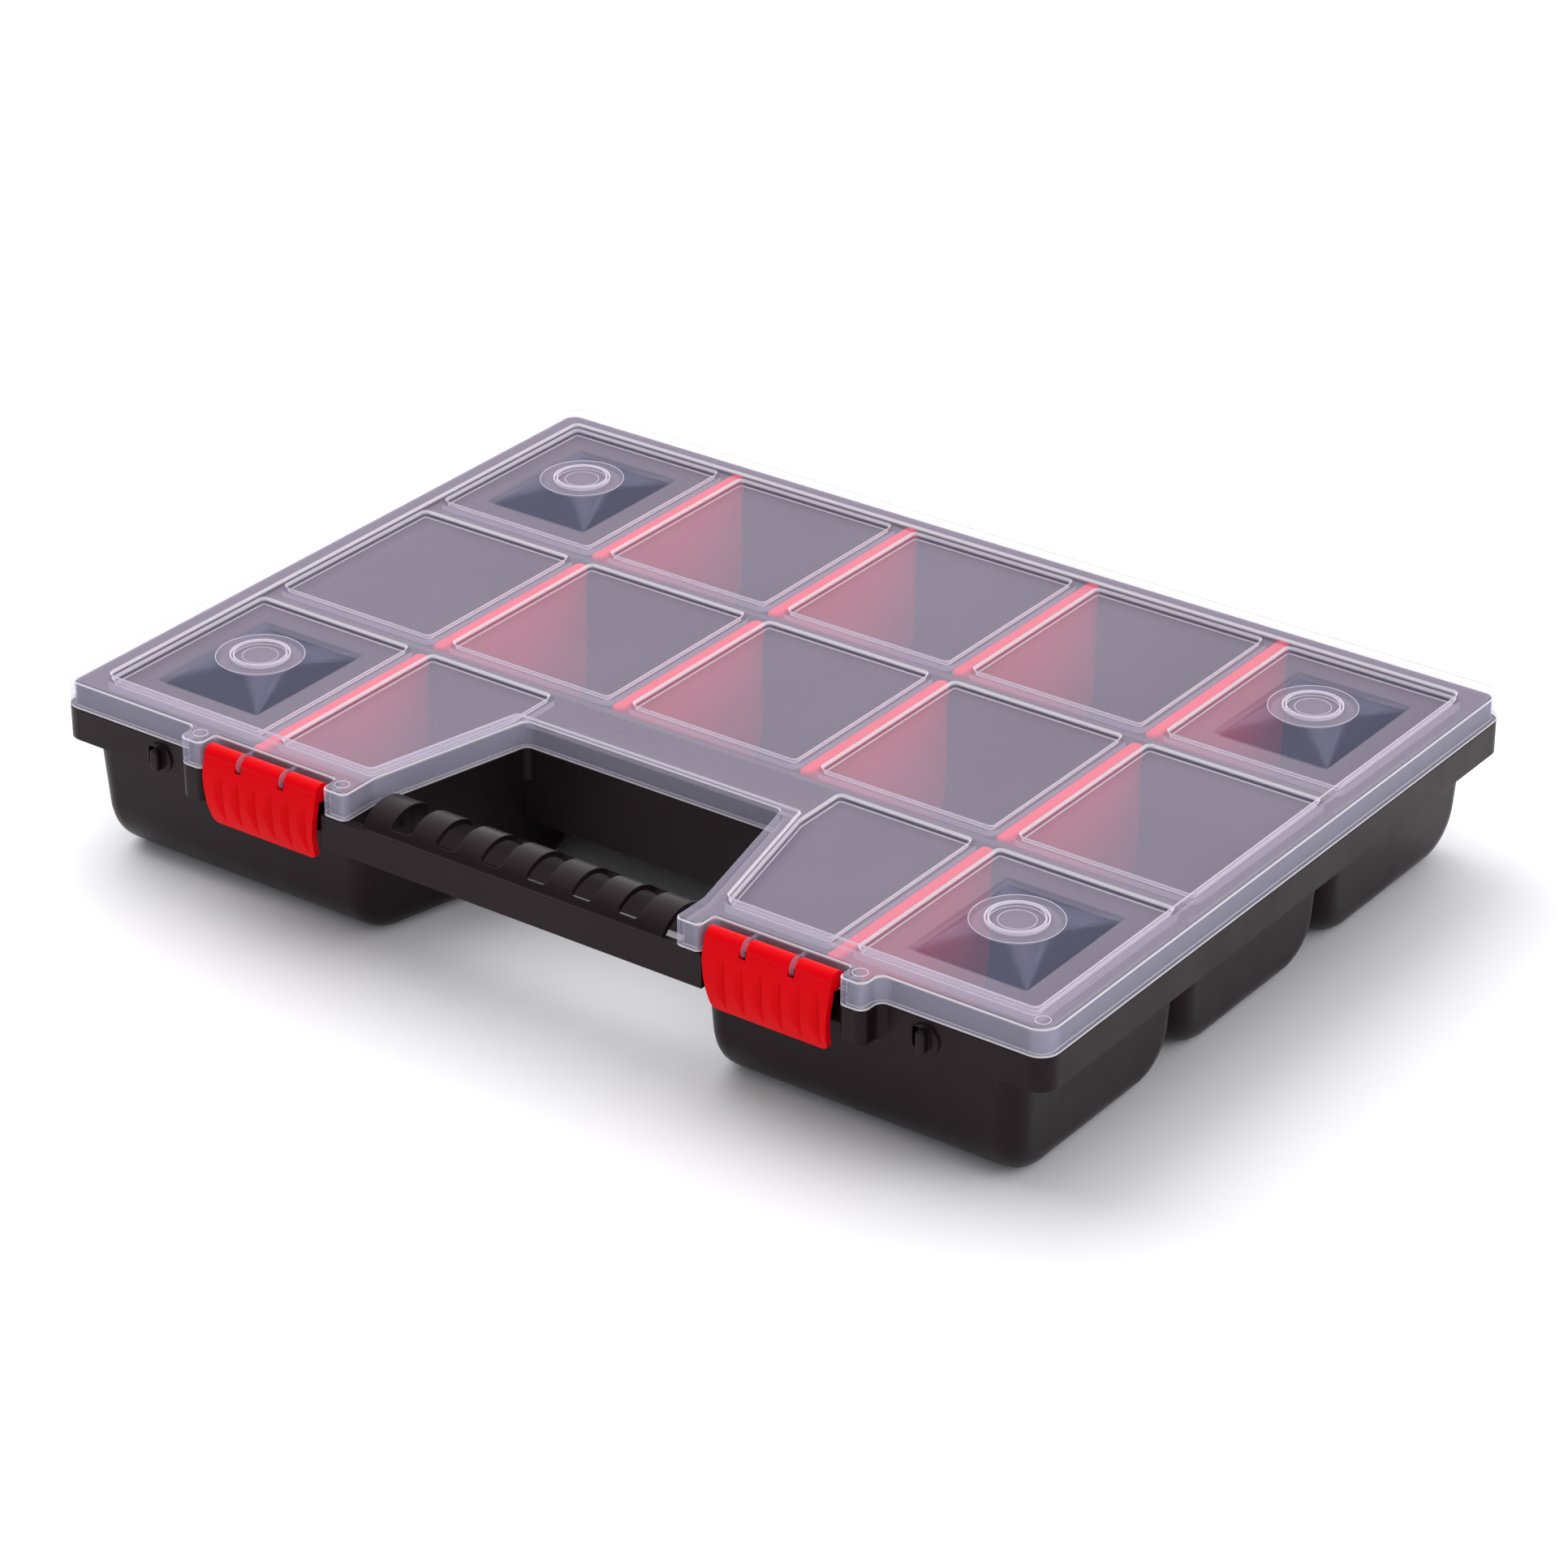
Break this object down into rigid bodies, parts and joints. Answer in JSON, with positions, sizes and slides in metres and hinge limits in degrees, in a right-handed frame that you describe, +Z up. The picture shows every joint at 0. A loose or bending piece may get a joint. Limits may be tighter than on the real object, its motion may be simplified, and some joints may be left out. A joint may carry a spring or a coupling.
{
  "type": "parts organizer case",
  "caption": "Flat compartment case with a translucent hinged lid, front latches, removable dividers and a carry handle built into its front edge.",
  "frame": {"origin": "middle of the underside of the whole case, on the surface it stands on", "axes": "+Z up, -Y towards the front with the handle and latches, +X to the right along the long side"},
  "size_m": [0.39, 0.2914, 0.0632],
  "materials": {
    "tray_black": "satin black polypropylene with a fine moulded texture",
    "lid_clear": "milky translucent polypropylene",
    "latch_red": "semi-gloss red plastic",
    "divider_red": "satin red plastic"
  },
  "bodies": {
    "tray": {"tray": "tray_black", "divider_front_1": "divider_red", "divider_front_2": "divider_red", "divider_middle_1": "divider_red", "divider_middle_2": "divider_red", "divider_middle_3": "divider_red", "divider_middle_4": "divider_red", "divider_back_1": "divider_red", "divider_back_2": "divider_red", "divider_back_3": "divider_red", "divider_back_4": "divider_red"},
    "lid": {"lid": "lid_clear"},
    "latch_left": {"latch_left": "latch_red"},
    "latch_right": {"latch_right": "latch_red"}
  },
  "joints": [
    {"name": "lid_hinge", "type": "hinge", "parent": "tray", "child": "lid", "pos_m": [0, 0.1419, 0.05], "axis": [-1, 0, 0], "range_deg": [0, 180]},
    {"name": "latch_left_hinge", "type": "hinge", "parent": "lid", "child": "latch_left", "pos_m": [-0.1005, -0.1407, 0.0576], "axis": [-1, 0, 0], "range_deg": [0, 100]},
    {"name": "latch_right_hinge", "type": "hinge", "parent": "lid", "child": "latch_right", "pos_m": [0.1005, -0.1407, 0.0576], "axis": [-1, 0, 0], "range_deg": [0, 100]}
  ]
}
